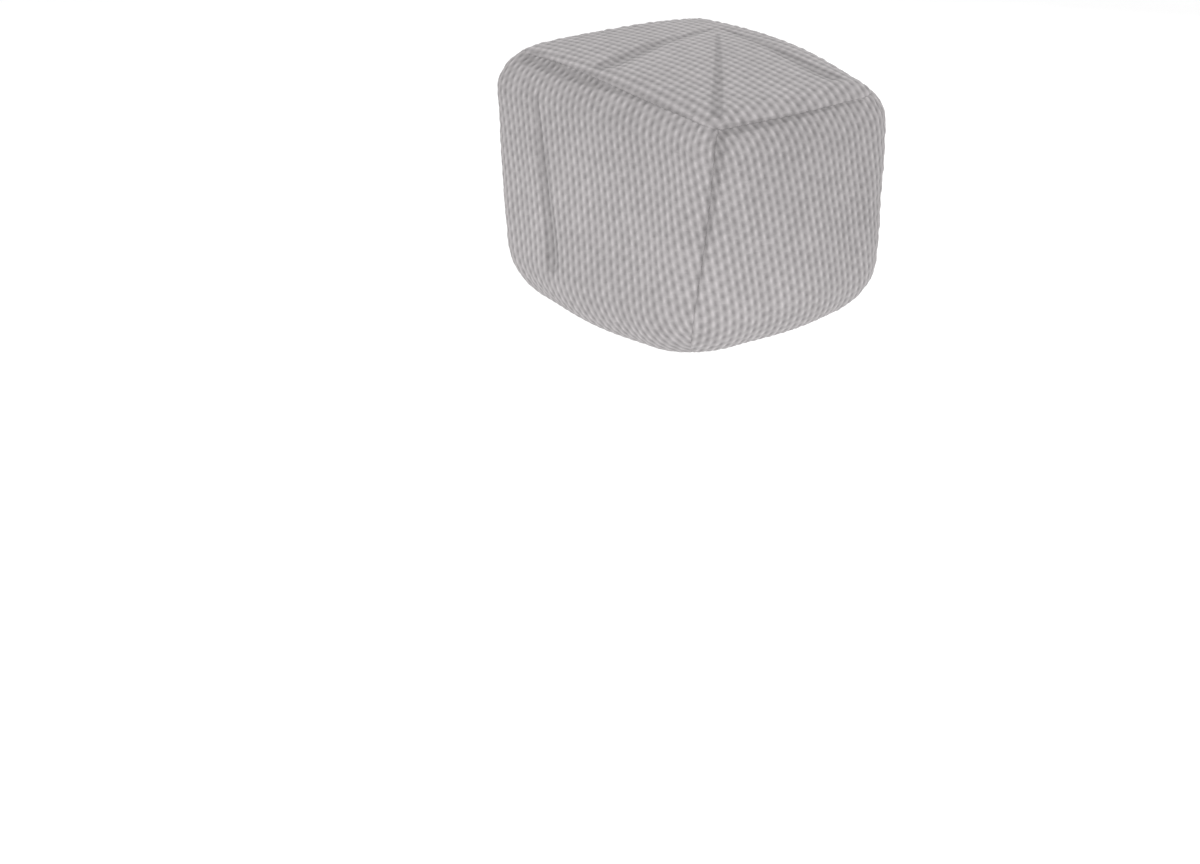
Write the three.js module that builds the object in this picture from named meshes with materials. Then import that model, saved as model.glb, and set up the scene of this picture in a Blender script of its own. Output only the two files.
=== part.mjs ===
// Fitted cloth cover, hollow and open below: five panels of woven cloth sewn along soft rounded edges,
// with the lower edge drawn in. Millimetres, +Z up, +X towards the aft end, +Y towards starboard.
// The origin is the middle of the top's inner face, where the covered head carries the cloth.
import * as THREE from "three";

// Corners of the plan, going round counter-clockwise seen from above. top and low are where the flat
// sides would meet at the top and at the hem, round is the radius of the upright edge at each end,
// and seam is how far up the rounded top edge the seam lies, in degrees.
const corners = [
  { name: "portForward", top: [-253, -165], low: [-240, -164], round: [66, 92], seam: 71 },
  { name: "portAft", top: [261, -140], low: [213, -160], round: [40, 118], seam: 47 },
  { name: "starboardAft", top: [237, 137], low: [182, 162], round: [63, 72], seam: 47 },
  { name: "starboardForward", top: [-243, 176], low: [-210, 150], round: [56, 88], seam: 71 },
];

// Facets of the sheets along the length, across the width and down the walls: panels share them at a seam
const facets = { length: 30, width: 22, down: 20 };

// Sides, each from its own corner to the next, with how far the middle bows out
const sides = [
  { name: "port_panel", bow: 8, columns: facets.length },
  { name: "aft_panel", bow: 9, columns: facets.width },
  { name: "starboard_panel", bow: 7, columns: facets.length },
  { name: "forward_panel", bow: 3, columns: facets.width },
];

// Height between the flat top and the lowest level, radius of the top edge, and the drawn-in lower edge
const height = 321;
const topRound = 54;
const lowRound = 76;
const drawnIn = THREE.MathUtils.degToRad(72);
const tightestRound = 4;
const leanPower = 1.5;

// Rise of the top and of the hem over the plan: tilts at the ends, crowns and the twist between the corners
const halfLength = 250;
const halfWidth = 157;
const topRise = { tiltAlong: 5, tiltAcross: 4.4, twist: -2.2, crownAlong: 14.5, crownAcross: 8 };
const hemRise = { tiltAlong: 6, tiltAcross: 13, twist: 8, crownAlong: 0, crownAcross: 0 };

// Cloth thickness, the turned hem's extra thickness and depth, and the gap between two sewn panels
const cloth = 2;
const hemExtra = 1.2;
const hemShare = 0.06;
const seamGap = 0.3;
const edgeCrowding = 0.45;

// Soft folds, each a trough along a path on the cloth: half its width and its depth at every point
const folds = [
  {
    name: "portTopEdge",
    path: [
      { x: -148, y: -132, z: -22, wide: 10, deep: 5 },
      { x: -63, y: -137, z: -18, wide: 9, deep: 4.5 },
      { x: 16, y: -136, z: -16, wide: 8, deep: 4 },
      { x: 90, y: -132, z: -16, wide: 7, deep: 3.2 },
      { x: 146, y: -129, z: -19, wide: 6, deep: 2.6 },
      { x: 191, y: -124, z: -20, wide: 5, deep: 2 },
    ],
  },
  {
    name: "aftTopEdge",
    path: [
      { x: 238, y: -113, z: -28, wide: 8, deep: 4.5 },
      { x: 242, y: -85, z: -25, wide: 7, deep: 3.6 },
      { x: 243, y: -46, z: -23, wide: 6, deep: 3 },
      { x: 241, y: -3, z: -21, wide: 5, deep: 2.4 },
      { x: 234, y: 42, z: -20, wide: 4.5, deep: 2 },
      { x: 224, y: 85, z: -21, wide: 4, deep: 1.5 },
    ],
  },
  {
    name: "nearUprightEdge",
    path: [
      { x: 237, y: -118, z: -30, wide: 9, deep: 5 },
      { x: 242, y: -123, z: -65, wide: 8, deep: 4.5 },
      { x: 232, y: -123, z: -109, wide: 7.5, deep: 4 },
      { x: 215, y: -123, z: -171, wide: 7, deep: 3.2 },
      { x: 194, y: -122, z: -251, wide: 6, deep: 2 },
    ],
  },
  {
    name: "portSideFold",
    path: [
      { x: -100, y: -162, z: -55, wide: 8, deep: 1.5 },
      { x: -94, y: -163, z: -81, wide: 8, deep: 2 },
      { x: -84, y: -163, z: -115, wide: 8, deep: 2.6 },
      { x: -76, y: -164, z: -156, wide: 9, deep: 3.5 },
      { x: -65, y: -165, z: -202, wide: 10, deep: 4.2 },
      { x: -54, y: -167, z: -255, wide: 11, deep: 5 },
    ],
  },
  {
    name: "topForwardFold",
    path: [
      { x: -112, y: 89, z: -3, wide: 8, deep: 1.5 },
      { x: -93, y: 47, z: -1, wide: 9, deep: 2 },
      { x: -72, y: -8, z: -1, wide: 10, deep: 3 },
      { x: -45, y: -65, z: -3, wide: 11, deep: 3.8 },
      { x: -28, y: -108, z: -6, wide: 12, deep: 4.5 },
    ],
  },
  {
    name: "topStarboardFold",
    path: [
      { x: -104, y: 100, z: -2, wide: 7, deep: 1.5 },
      { x: -38, y: 91, z: 1, wide: 8, deep: 2 },
      { x: 42, y: 84, z: 2, wide: 9, deep: 3 },
      { x: 104, y: 78, z: 1, wide: 10, deep: 3.6 },
      { x: 155, y: 75, z: -1, wide: 11, deep: 4.2 },
      { x: 194, y: 78, z: -4, wide: 12, deep: 4.8 },
    ],
  },
  {
    name: "topDiagonalFold",
    path: [
      { x: -72, y: 73, z: 0, wide: 10, deep: 1.2 },
      { x: 33, y: 9, z: 2, wide: 11, deep: 1.8 },
      { x: 124, y: -48, z: -1, wide: 12, deep: 2.5 },
      { x: 185, y: -87, z: -6, wide: 12, deep: 3 },
      { x: 222, y: -111, z: -16, wide: 8, deep: 1.5 },
    ],
  },
  {
    name: "starboardSideFold",
    path: [
      { x: 75, y: 156, z: -71, wide: 10, deep: 1.5 },
      { x: 68, y: 158, z: -135, wide: 11, deep: 3 },
      { x: 55, y: 161, z: -236, wide: 12, deep: 4 },
    ],
  },
  {
    name: "forwardEndFold",
    path: [
      { x: -248, y: 37, z: -68, wide: 10, deep: 1.5 },
      { x: -243, y: 32, z: -134, wide: 11, deep: 2.6 },
      { x: -234, y: 22, z: -236, wide: 12, deep: 3.5 },
    ],
  },
];

const mix = (from, to, share) => from + (to - from) * share;
const clamp01 = (value) => THREE.MathUtils.clamp(value, 0, 1);
const nearestTurn = (angle) => THREE.MathUtils.euclideanModulo(angle + Math.PI, 2 * Math.PI) - Math.PI;
const stepTo = (from, step, by) => [from[0] + step[0] * by, from[1] + step[1] * by];

// Point of the plan: ring runs 0 to 4 round the four sides, seam to seam, evenly by length on each side.
// depth is 0 at the top and 1 at the lowest level, inset how far inside the flat sides the point lies.
function planPoint(ring, inset, depth) {
  const side = Math.floor(ring) % 4;
  const lean = depth ** leanPower;
  const walls = corners.map((corner, k) => {
    const next = corners[(k + 1) % 4];
    const from = [mix(corner.top[0], corner.low[0], lean), mix(corner.top[1], corner.low[1], lean)];
    const to = [mix(next.top[0], next.low[0], lean), mix(next.top[1], next.low[1], lean)];
    const length = Math.hypot(to[0] - from[0], to[1] - from[1]);
    const normal = [(to[1] - from[1]) / length, (from[0] - to[0]) / length];
    const distance = normal[0] * from[0] + normal[1] * from[1] - inset;
    return { normal, distance, angle: Math.atan2(normal[1], normal[0]) };
  });
  const before = walls[(side + 3) % 4];
  const here = walls[side];
  const after = walls[(side + 1) % 4];
  const start = cornerCircle(before, here, side, inset, depth);
  const end = cornerCircle(here, after, (side + 1) % 4, inset, depth);

  const startTurn = nearestTurn(before.angle - here.angle) / 2;
  const endTurn = nearestTurn(after.angle - here.angle) / 2;
  const startFlat = stepTo(start.centre, here.normal, start.radius);
  const endFlat = stepTo(end.centre, here.normal, end.radius);
  const startLength = start.radius * Math.abs(startTurn);
  const endLength = end.radius * Math.abs(endTurn);
  const flatLength = Math.hypot(endFlat[0] - startFlat[0], endFlat[1] - startFlat[1]);
  const reach = (ring - Math.floor(ring)) * (startLength + flatLength + endLength);

  if (reach < startLength) {
    return onCircle(start, here.angle + startTurn * (1 - reach / startLength));
  }
  if (reach > startLength + flatLength) {
    return onCircle(end, here.angle + (endTurn * (reach - startLength - flatLength)) / endLength);
  }
  const share = (reach - startLength) / flatLength;
  const straight = [mix(startFlat[0], endFlat[0], share), mix(startFlat[1], endFlat[1], share)];
  return stepTo(straight, here.normal, sides[side].bow * Math.sin(Math.PI * share));
}

// Circle that rounds the corner between two walls: it touches both of them
function cornerCircle(first, second, index, inset, depth) {
  const [topRadius, lowRadius] = corners[index].round;
  const radius = Math.max(mix(topRadius, lowRadius, depth) - inset, tightestRound);
  const a = first.distance - radius;
  const b = second.distance - radius;
  const cross = first.normal[0] * second.normal[1] - first.normal[1] * second.normal[0];
  const x = (a * second.normal[1] - b * first.normal[1]) / cross;
  const y = (first.normal[0] * b - second.normal[0] * a) / cross;
  return { centre: [x, y], radius };
}

function onCircle(circle, angle) {
  return stepTo(circle.centre, [Math.cos(angle), Math.sin(angle)], circle.radius);
}

// How far up the rounded top edge the seam lies, blended smoothly from corner to corner
function seamAngle(ring) {
  const side = Math.floor(ring) % 4;
  const share = THREE.MathUtils.smoothstep(ring - Math.floor(ring), 0, 1);
  return THREE.MathUtils.degToRad(mix(corners[side].seam, corners[(side + 1) % 4].seam, share));
}

function riseAt(rise, x, y) {
  const along = x / halfLength;
  const across = y / halfWidth;
  const tilt = rise.tiltAlong * along + rise.tiltAcross * across + rise.twist * along * across;
  return tilt - rise.crownAlong * along ** 2 - rise.crownAcross * across ** 2;
}

function placed(x, y, level) {
  const depth = clamp01(-level / height);
  const rise = (1 - depth) ** 2 * riseAt(topRise, x, y) + depth ** 2 * riseAt(hemRise, x, y);
  return new THREE.Vector3(x, y, level + rise + cloth);
}

// Smooth outer form of the cover. along is -1 in the middle of the top, 0 at the top seam and 1 at the
// hem's edge, evenly by length between them.
function formPoint(ring, along) {
  const seam = seamAngle(ring);
  if (along < 0) {
    const arc = topRound * (Math.PI / 2 - seam);
    const rim = planPoint(ring, topRound, 0);
    const flat = Math.hypot(rim[0], rim[1]);
    const reach = -along * (arc + flat);
    if (reach >= arc) {
      const share = Math.max(1 - (reach - arc) / flat, 0);
      return placed(rim[0] * share, rim[1] * share, 0);
    }
    return edgePoint(ring, seam + reach / topRound, topRound, -topRound);
  }
  const arc = topRound * seam;
  const wall = height - topRound - lowRound;
  const reach = along * (arc + wall + lowRound * drawnIn);
  if (reach < arc) {
    return edgePoint(ring, seam - reach / topRound, topRound, -topRound);
  }
  if (reach > arc + wall) {
    return edgePoint(ring, -(reach - arc - wall) / lowRound, lowRound, lowRound - height);
  }
  const level = -topRound - (reach - arc);
  const [x, y] = planPoint(ring, 0, -level / height);
  return placed(x, y, level);
}

// Point on a rounded edge: its angle above the horizontal, its radius and the level of its centre
function edgePoint(ring, angle, radius, centreLevel) {
  const level = centreLevel + radius * Math.sin(angle);
  const [x, y] = planPoint(ring, radius * (1 - Math.cos(angle)), clamp01(-level / height));
  return placed(x, y, level);
}

// Two directions on the cloth, along the ring and down, and the outward normal, by small differences
function clothFrame(ring, along) {
  const step = 0.002;
  const turned = (value) => THREE.MathUtils.euclideanModulo(value, 4);
  const across = formPoint(turned(ring + step), along).sub(formPoint(turned(ring - step), along));
  const lower = Math.min(along + step, 1);
  const down = formPoint(ring, lower).sub(formPoint(ring, Math.max(along - step, -1)));
  const normal = new THREE.Vector3().crossVectors(down, across);
  if (along < step - 1) {
    normal.set(0, 0, 1);
  }
  return { across: across.normalize(), down: down.normalize(), normal: normal.normalize() };
}

// Depth of the soft folds at a point: each falls off as exp(-(distance / half width)^2) from its path
function foldDepth(point) {
  let deep = 0;
  for (const fold of folds) {
    let deepest = 0;
    for (let k = 1; k < fold.path.length; k += 1) {
      const a = fold.path[k - 1];
      const b = fold.path[k];
      const from = new THREE.Vector3(a.x, a.y, a.z);
      const leg = new THREE.Vector3(b.x, b.y, b.z).sub(from);
      const share = clamp01(point.clone().sub(from).dot(leg) / leg.lengthSq());
      const distance = from.addScaledVector(leg, share).distanceTo(point);
      const fall = Math.exp(-((distance / mix(a.wide, b.wide, share)) ** 2));
      deepest = Math.max(deepest, mix(a.deep, b.deep, share) * fall);
    }
    deep += deepest;
  }
  return deep;
}

// Outer and inner point of the cloth; seams lists the seams that pass through it, as the direction
// of the seam and the side of it on which the panel lies
function clothPair(ring, along, seams) {
  const frame = clothFrame(ring, along);
  const form = formPoint(ring, along);
  const outer = form.clone().addScaledVector(frame.normal, -foldDepth(form));
  for (const seam of seams) {
    const inward = new THREE.Vector3().crossVectors(frame.normal, frame[seam.runs]).normalize();
    outer.addScaledVector(inward, (seam.side * seamGap) / 2);
  }
  const turnedUp = THREE.MathUtils.smoothstep(along, 1 - 1.3 * hemShare, 1 - hemShare);
  const inner = outer.clone().addScaledVector(frame.normal, -cloth - hemExtra * turnedUp);
  return { outer, inner };
}

// Shares from 0 to 1 that lie closer together near both ends
function crowdedShares(count) {
  return Array.from({ length: count + 1 }, (_, k) => {
    const even = k / count;
    return mix(even, 0.5 - 0.5 * Math.cos(Math.PI * even), edgeCrowding);
  });
}

// Closed sheet from a grid of point pairs: outer skin, inner skin and the rim round the border.
// turned is true where columns cross rows points inwards.
function sheetGeometry(pairs, columns, rows, turned) {
  const positions = [];
  for (const layer of ["outer", "inner"]) {
    for (const pair of pairs) {
      positions.push(...pair[layer].toArray());
    }
  }
  const at = (i, j) => i * (rows + 1) + j;
  const innerOffset = pairs.length;
  const faces = [];
  const addFace = (a, b, c) => faces.push(...(turned ? [a, c, b] : [a, b, c]));
  for (let i = 0; i < columns; i += 1) {
    for (let j = 0; j < rows; j += 1) {
      const quad = [at(i, j), at(i + 1, j), at(i + 1, j + 1), at(i, j + 1)];
      const inside = quad.map((index) => index + innerOffset);
      addFace(quad[0], quad[1], quad[2]);
      addFace(quad[0], quad[2], quad[3]);
      addFace(inside[0], inside[2], inside[1]);
      addFace(inside[0], inside[3], inside[2]);
    }
  }
  const run = (count, place) => Array.from({ length: count }, (_, k) => place(k));
  const border = [
    ...run(columns, (k) => at(k, 0)),
    ...run(rows, (k) => at(columns, k)),
    ...run(columns, (k) => at(columns - k, rows)),
    ...run(rows, (k) => at(0, rows - k)),
  ];
  border.forEach((here, k) => {
    const next = border[(k + 1) % border.length];
    addFace(next, here, here + innerOffset);
    addFace(next, here + innerOffset, next + innerOffset);
  });
  const geometry = new THREE.BufferGeometry();
  geometry.setAttribute("position", new THREE.Float32BufferAttribute(positions, 3));
  geometry.setIndex(faces);
  geometry.computeVertexNormals();
  return geometry;
}

function clothMaterial() {
  return new THREE.MeshStandardMaterial({ color: 0xaeaaab, roughness: 0.95, metalness: 0 });
}

// One wall, from the top seam down to the hem and from one upright seam to the other
function wallPanel(index) {
  const { name, columns } = sides[index];
  const rows = facets.down;
  const pairs = [];
  crowdedShares(columns).forEach((across, i) => {
    crowdedShares(rows).forEach((down, j) => {
      const seams = [
        ...(i === 0 ? [{ runs: "down", side: 1 }] : []),
        ...(i === columns ? [{ runs: "down", side: -1 }] : []),
        ...(j === 0 ? [{ runs: "across", side: -1 }] : []),
      ];
      const ring = i === columns ? (index + 1) % 4 : index + across;
      pairs.push(clothPair(ring, down, seams));
    });
  });
  const mesh = new THREE.Mesh(sheetGeometry(pairs, columns, rows, true), clothMaterial());
  mesh.name = name;
  return mesh;
}

// Ring place of a point of the square grid that covers the top: a runs along the length, b across it
function topRing(a, b, reach) {
  if (reach === 0) {
    return 0;
  }
  if (-b >= Math.abs(a)) {
    return (1 + a / reach) / 2;
  }
  if (a >= Math.abs(b)) {
    return 1 + (1 + b / reach) / 2;
  }
  if (b >= Math.abs(a)) {
    return 2 + (1 - a / reach) / 2;
  }
  return (3 + (1 - b / reach) / 2) % 4;
}

// The top, a grid whose square rings become the rings of the form, from the seam to the middle
function topPanel() {
  const columns = facets.length;
  const rows = facets.width;
  const pairs = [];
  crowdedShares(columns).forEach((across, i) => {
    crowdedShares(rows).forEach((down, j) => {
      const a = 2 * across - 1;
      const b = 2 * down - 1;
      const reach = Math.max(Math.abs(a), Math.abs(b));
      const edge = i === 0 || i === columns || j === 0 || j === rows;
      const seams = edge ? [{ runs: "across", side: 1 }] : [];
      pairs.push(clothPair(topRing(a, b, reach), reach - 1, seams));
    });
  });
  const mesh = new THREE.Mesh(sheetGeometry(pairs, columns, rows, false), clothMaterial());
  mesh.name = "top_panel";
  return mesh;
}

const cover = new THREE.Group();
cover.name = "cloth_cover";
cover.add(topPanel());
sides.forEach((_, index) => cover.add(wallPanel(index)));

export default cover;
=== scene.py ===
import bpy
import numpy as np
from mathutils import Matrix, Vector


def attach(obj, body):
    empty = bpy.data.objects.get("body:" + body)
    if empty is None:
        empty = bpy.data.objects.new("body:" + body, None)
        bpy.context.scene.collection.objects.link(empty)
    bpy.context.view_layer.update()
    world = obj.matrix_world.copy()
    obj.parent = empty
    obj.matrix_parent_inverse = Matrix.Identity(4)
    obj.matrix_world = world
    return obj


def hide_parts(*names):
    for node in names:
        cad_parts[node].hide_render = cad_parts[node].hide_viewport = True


# Fitted cloth cover, hollow and open below: five woven panels sewn along soft rounded edges, with the
# lower edge drawn in. Metres, +Z up, +X towards the aft end, +Y towards starboard.

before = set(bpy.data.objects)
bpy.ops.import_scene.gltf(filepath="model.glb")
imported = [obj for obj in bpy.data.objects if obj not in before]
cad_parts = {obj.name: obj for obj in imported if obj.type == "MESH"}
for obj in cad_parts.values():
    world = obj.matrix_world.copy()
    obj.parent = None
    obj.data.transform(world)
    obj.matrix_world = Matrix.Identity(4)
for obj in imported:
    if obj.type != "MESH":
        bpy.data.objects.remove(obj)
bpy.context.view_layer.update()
print("frame loaded:", ", ".join(sorted(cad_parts)))


# Camera: it stands at the picture's viewing angle, and turns so that the middle of the cover falls on its
# pixel of the 1200 x 864 picture.
cameraView = {
    "azimuth": 58.4,
    "elevation": 15.0,
    "distance": 6.0,
    "target": (0.0, 0.0, -0.148),
    "targetPixel": (697.0, 173.8),
    "pictureSize": (1200, 864),
    "focalPixels": 5058,
    "sensorWidth": 36.0,
    "farthest": 200,
}


def addCamera(view):
    # back = (sin a cos e, -cos a cos e, sin e); the turn takes the pixel's own ray to the target's ray
    azimuth, elevation = np.radians([view["azimuth"], view["elevation"]])
    level = np.cos(elevation)
    back = Vector((np.sin(azimuth) * level, -np.cos(azimuth) * level, np.sin(elevation)))
    width, height = view["pictureSize"]
    column, row = view["targetPixel"]
    pixelRay = Vector((column - width / 2, height / 2 - row, -view["focalPixels"]))
    turn = (-back).to_track_quat("-Z", "Y") @ pixelRay.rotation_difference(Vector((0, 0, -1)))
    data = bpy.data.cameras.new("pictureCamera")
    data.sensor_width = view["sensorWidth"]
    data.lens = view["focalPixels"] * view["sensorWidth"] / width
    data.clip_end = view["farthest"]
    camera = bpy.data.objects.new("pictureCamera", data)
    camera.location = Vector(view["target"]) + back * view["distance"]
    camera.rotation_mode = "QUATERNION"
    camera.rotation_quaternion = turn
    bpy.context.scene.collection.objects.link(camera)
    bpy.context.scene.camera = camera


addCamera(cameraView)


# Form of the cover. Each corner has the place where the flat sides would meet at the top and at the hem,
# the radius of the upright edge at both ends, and how far up the rounded top edge the seam lies, in
# degrees.
coverForm = {
    "topCorners": [(-0.2505, -0.165), (0.261, -0.140), (0.235, 0.1335), (-0.243, 0.175)],
    "lowCorners": [(-0.240, -0.164), (0.213, -0.160), (0.182, 0.162), (-0.210, 0.150)],
    "topRadii": [0.066, 0.040, 0.063, 0.056],
    "lowRadii": [0.092, 0.118, 0.072, 0.088],
    "seamAngles": [71, 47, 47, 71],
    "bows": [0.008, 0.009, 0.007, 0.003],
    "height": 0.321,
    "topRound": 0.054,
    "lowRound": 0.076,
    "drawnIn": 72,
    "tightestRound": 0.004,
    "leanPower": 1.5,
    "halfLength": 0.250,
    "halfWidth": 0.157,
}

# Rise of the top and of the hem over the plan: tilts at the ends, twist and crowns
topRise = {
    "tiltAlong": 0.0057,
    "tiltAcross": 0.0037,
    "twist": -0.0015,
    "crownAlong": 0.0145,
    "crownAcross": 0.008,
}
hemRise = {
    "tiltAlong": 0.006,
    "tiltAcross": 0.013,
    "twist": 0.008,
    "crownAlong": 0.0,
    "crownAcross": 0.0,
}

# The sheet itself: its thickness, how much more the turned hem has, over which share of the wall and how
# softly it begins, how far the threads' middle lies inside the form, and how many steps of the outer skin
# go to one of the inner
clothSheet = {
    "thickness": 0.002,
    "hemExtra": 0.0012,
    "hemShare": 0.06,
    "hemEase": 1.3,
    "settle": 0.0010,
    "innerEvery": 3,
}

# Rounded lower edge of a wall: angles of its rows on the outer and the inner half, from straight out of
# the cloth, and how far the weave goes on from row to row
lowerEdge = {
    "outerAngles": (30, 60, 90),
    "innerAngles": (150, 120, 96),
    "weaveStep": 0.0008,
}

# Bake's map, from 0 to 1: the outer skin lies above, the inner one below, and the rim is a frame as wide
# as border
bakeLayout = {
    "border": 0.006,
    "outerLow": 0.22,
    "innerHigh": 0.19,
}

# Soft folds, each a trough along a path, and a wedge seen from outside: x, y, z, half its width and its
# depth
coverFolds = {
    "portTopEdge": [
        (-0.171, -0.130, -0.026, 0.0126, 0.0028),
        (-0.148, -0.133, -0.024, 0.0116, 0.0032),
        (-0.063, -0.139, -0.021, 0.0092, 0.0030),
        (0.016, -0.138, -0.019, 0.0064, 0.0023),
        (0.090, -0.134, -0.019, 0.0038, 0.0014),
        (0.146, -0.130, -0.021, 0.0020, 0.0008),
        (0.191, -0.124, -0.020, 0.0009, 0.0004),
    ],
    "aftTopEdge": [
        (0.238, -0.113, -0.028, 0.0082, 0.0030),
        (0.242, -0.085, -0.025, 0.0070, 0.0025),
        (0.243, -0.046, -0.023, 0.0054, 0.0018),
        (0.241, -0.003, -0.021, 0.0036, 0.0012),
        (0.234, 0.042, -0.020, 0.0020, 0.0007),
        (0.224, 0.085, -0.021, 0.0010, 0.0003),
    ],
    "nearUprightEdge": [
        (0.237, -0.118, -0.030, 0.0088, 0.0036),
        (0.242, -0.120, -0.047, 0.0082, 0.0034),
        (0.242, -0.123, -0.065, 0.0076, 0.0030),
        (0.232, -0.123, -0.109, 0.0060, 0.0023),
        (0.215, -0.123, -0.171, 0.0037, 0.0014),
        (0.194, -0.122, -0.251, 0.0010, 0.0004),
    ],
    "portSideFold": [
        (-0.100, -0.162, -0.055, 0.0042, 0.0008),
        (-0.094, -0.163, -0.081, 0.0064, 0.0014),
        (-0.084, -0.163, -0.115, 0.0086, 0.0020),
        (-0.076, -0.164, -0.156, 0.0112, 0.0027),
        (-0.068, -0.165, -0.199, 0.0138, 0.0033),
        (-0.061, -0.167, -0.244, 0.0160, 0.0038),
    ],
    "topForwardFold": [
        (-0.112, 0.089, -0.003, 0.0040, 0.0010),
        (-0.093, 0.047, -0.001, 0.0076, 0.0019),
        (-0.072, -0.008, -0.001, 0.0116, 0.0029),
        (-0.045, -0.065, -0.003, 0.0150, 0.0037),
        (-0.029, -0.104, -0.006, 0.0174, 0.0042),
    ],
    "topStarboardFold": [
        (-0.104, 0.100, -0.002, 0.0032, 0.0008),
        (-0.038, 0.091, 0.001, 0.0054, 0.0014),
        (0.042, 0.084, 0.002, 0.0082, 0.0022),
        (0.104, 0.078, 0.001, 0.0104, 0.0028),
        (0.155, 0.075, -0.001, 0.0122, 0.0033),
        (0.176, 0.076, -0.003, 0.0130, 0.0035),
    ],
    "topDiagonalFold": [
        (-0.072, 0.073, 0.000, 0.0026, 0.0003),
        (0.033, 0.009, 0.003, 0.0040, 0.0007),
        (0.124, -0.048, -0.001, 0.0056, 0.0013),
        (0.185, -0.087, -0.006, 0.0070, 0.0017),
        (0.216, -0.107, -0.013, 0.0076, 0.0018),
    ],
    "starboardSideFold": [
        (0.075, 0.156, -0.071, 0.0044, 0.0010),
        (0.068, 0.158, -0.135, 0.0092, 0.0022),
        (0.055, 0.161, -0.236, 0.0145, 0.0033),
    ],
    "forwardEndFold": [
        (-0.248, 0.037, -0.068, 0.0044, 0.0010),
        (-0.243, 0.032, -0.134, 0.0092, 0.0022),
        (-0.234, 0.022, -0.236, 0.0140, 0.0030),
    ],
}

# Least half width of a fold as a shape, and where its painted shade ends: inside and beyond the half width
softestFold = 0.0035
shadeEnds = (-0.0012, 0.0016)

# Small unevenness of the hanging cloth: waves through the whole cover
unevenness = [
    {"towards": (0.9, 0.3, 0.4), "length": 0.210, "height": 0.0005, "start": 0.4},
    {"towards": (-0.3, 0.8, 0.6), "length": 0.150, "height": 0.0004, "start": 2.1},
    {"towards": (0.5, -0.6, 0.7), "length": 0.092, "height": 0.0003, "start": 4.0},
    {"towards": (0.2, 0.5, -0.9), "length": 0.064, "height": 0.0002, "start": 1.2},
]

# Seams: a narrow groove, and soft puckers that die away beside it
seamLook = {
    "grooveDepth": 0.0006,
    "grooveWidth": 0.0022,
    "puckerHeight": 0.0004,
    "puckerReach": 0.009,
    "puckerPitch": 0.026,
}

# Coarse plain weave: upright warp threads stand over the level weft as floats, in steps from thread to
# thread, and between two threads a hollow opens beside each float. Spacing of the threads; width and
# length of floats and hollows as shares of it; place of a hollow from its float, in threads; relief in
# metres; and how near a seam it fades out.
weave = {
    "warpPitch": 0.0114,
    "weftPitch": 0.0074,
    "float": (0.25, 0.72),
    "hollow": (0.25, 0.66),
    "hollowPlace": (0.5, 0.35),
    "floatHeight": 0.00062,
    "hollowDepth": 0.00050,
    "weftCrown": 0.00005,
    "seamFade": (0.0002, 0.0018),
}


def mix(low, high, share):
    return low + (high - low) * share


def smoothstep(value, low, high):
    # 3 t^2 - 2 t^3 between low and high
    share = np.clip((value - low) / (high - low), 0, 1)
    return share * share * (3 - 2 * share)


def unit(vectors):
    return vectors / np.maximum(np.linalg.norm(vectors, axis=-1, keepdims=True), 1e-12)


def planPoint(ring, inset, depth):
    # Point of the plan. ring runs 0 to 4 round the sides, evenly by length on each: half the turn of its
    # first corner's circle, the flat stretch with its bow, and half the turn of its second corner's
    # circle.
    form = coverForm
    count = np.arange(len(ring))
    side = np.floor(ring).astype(int) % 4
    topPlan, lowPlan = np.array(form["topCorners"]), np.array(form["lowCorners"])
    corner = mix(topPlan, lowPlan, (depth ** form["leanPower"])[:, None, None])
    edge = unit(np.roll(corner, -1, axis=1) - corner)
    normal = np.stack([edge[..., 1], -edge[..., 0]], -1)
    distance = (normal * corner).sum(-1) - inset[:, None]
    radius = mix(np.array(form["topRadii"]), np.array(form["lowRadii"]), depth[:, None])
    radius = np.maximum(radius - inset[:, None], form["tightestRound"])

    # Centre of each corner's circle, which touches both of its walls: where the two, moved in by the
    # radius, meet
    before = np.roll(normal, 1, axis=1)
    a, b = np.roll(distance, 1, axis=1) - radius, distance - radius
    cross = before[..., 0] * normal[..., 1] - before[..., 1] * normal[..., 0]
    centreX = a * normal[..., 1] - b * before[..., 1]
    centreY = before[..., 0] * b - normal[..., 0] * a
    centre = np.stack([centreX, centreY], -1) / cross[..., None]

    heading = np.arctan2(normal[..., 1], normal[..., 0])
    here = heading[count, side]

    def halfTurn(other):
        return (np.mod(heading[count, other] - here + np.pi, 2 * np.pi) - np.pi) / 2

    def onCircle(place, angle):
        return centre[place] + radius[place][:, None] * np.stack([np.cos(angle), np.sin(angle)], 1)

    startTurn, endTurn = halfTurn((side + 3) % 4), halfTurn((side + 1) % 4)
    start, end = (count, side), (count, (side + 1) % 4)
    outward = normal[start]
    startFlat = centre[start] + outward * radius[start][:, None]
    endFlat = centre[end] + outward * radius[end][:, None]
    startLength, endLength = radius[start] * np.abs(startTurn), radius[end] * np.abs(endTurn)
    flatLength = np.linalg.norm(endFlat - startFlat, axis=1)
    reach = (ring - np.floor(ring)) * (startLength + flatLength + endLength)

    firstAngle = here + startTurn * (1 - np.clip(reach / startLength, 0, 1))
    lastAngle = here + endTurn * np.clip((reach - startLength - flatLength) / endLength, 0, 1)
    share = np.clip((reach - startLength) / flatLength, 0, 1)
    straight = mix(startFlat, endFlat, share[:, None])
    straight = straight + outward * (np.array(form["bows"])[side] * np.sin(np.pi * share))[:, None]
    inFirst, inLast = reach < startLength, reach > startLength + flatLength
    plan = np.where(inLast[:, None], onCircle(end, lastAngle), straight)
    return np.where(inFirst[:, None], onCircle(start, firstAngle), plan)


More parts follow.
